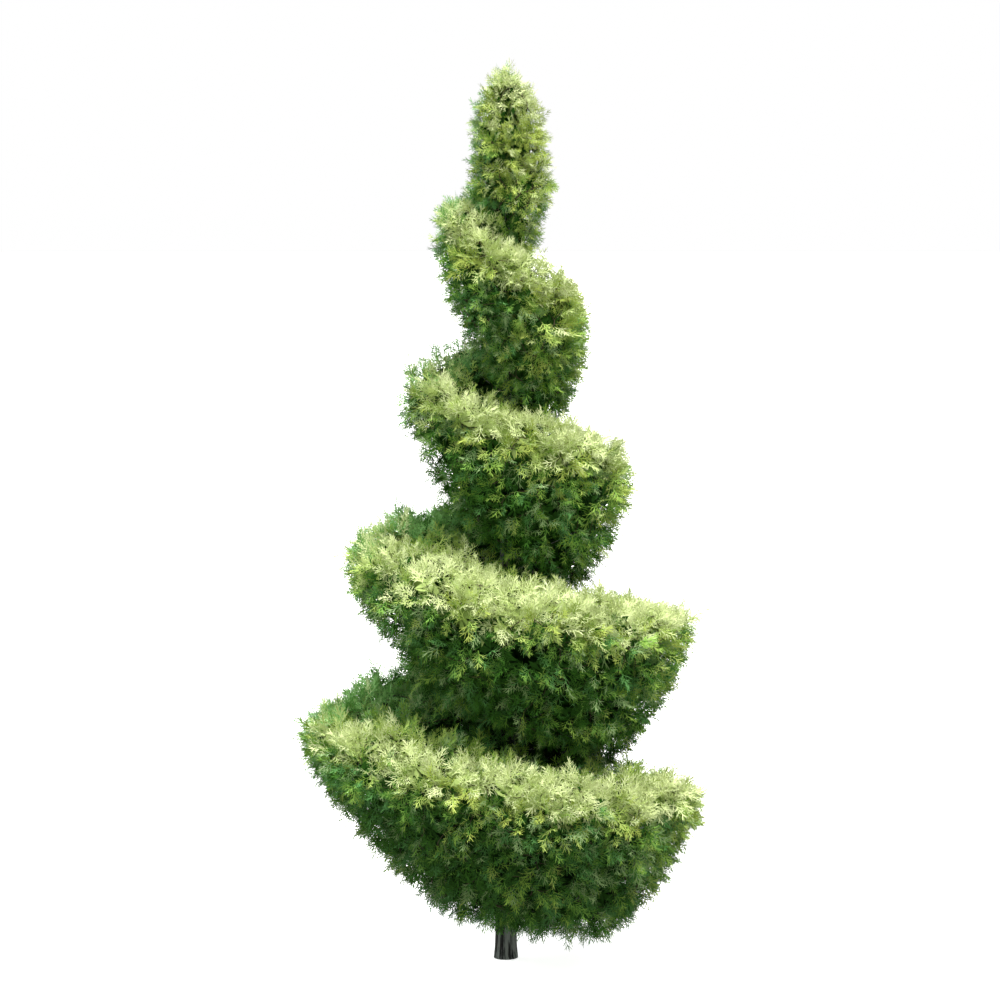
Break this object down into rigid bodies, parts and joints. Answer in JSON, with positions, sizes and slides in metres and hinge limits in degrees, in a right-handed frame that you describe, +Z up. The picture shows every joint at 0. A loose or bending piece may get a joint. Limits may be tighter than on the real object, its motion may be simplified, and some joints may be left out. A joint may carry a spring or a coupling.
{
  "type": "spiral topiary",
  "caption": "Tall evergreen conifer clipped into a spiral: one straight trunk, a cone at the top and a band of foliage winding down round it to a bowl near the ground.",
  "frame": {"origin": "centre of the trunk's flat cut at ground level", "axes": "+Z up along the trunk, +X to the right and +Y to the back as seen from the front"},
  "size_m": [1.1812, 1.169, 2.6],
  "materials": {
    "bark": "dark grey-brown bark in fine fibrous strips, dull",
    "foliage": "dense flat sprays of scale leaves, pale yellow-green on top and dark green below, dull"
  },
  "bodies": {
    "root": {"trunk": "bark", "finial": "foliage", "turn_1_back": "foliage", "turn_1_left": "foliage", "turn_1_front": "foliage", "turn_1_right": "foliage", "turn_2_back": "foliage", "turn_2_left": "foliage", "turn_2_front": "foliage", "turn_2_right": "foliage", "turn_3_back": "foliage", "turn_3_left": "foliage", "turn_3_front": "foliage", "turn_3_right": "foliage", "turn_4_back": "foliage", "turn_4_left": "foliage", "turn_4_front": "foliage", "turn_4_right": "foliage", "tail": "foliage"}
  },
  "joints": []
}
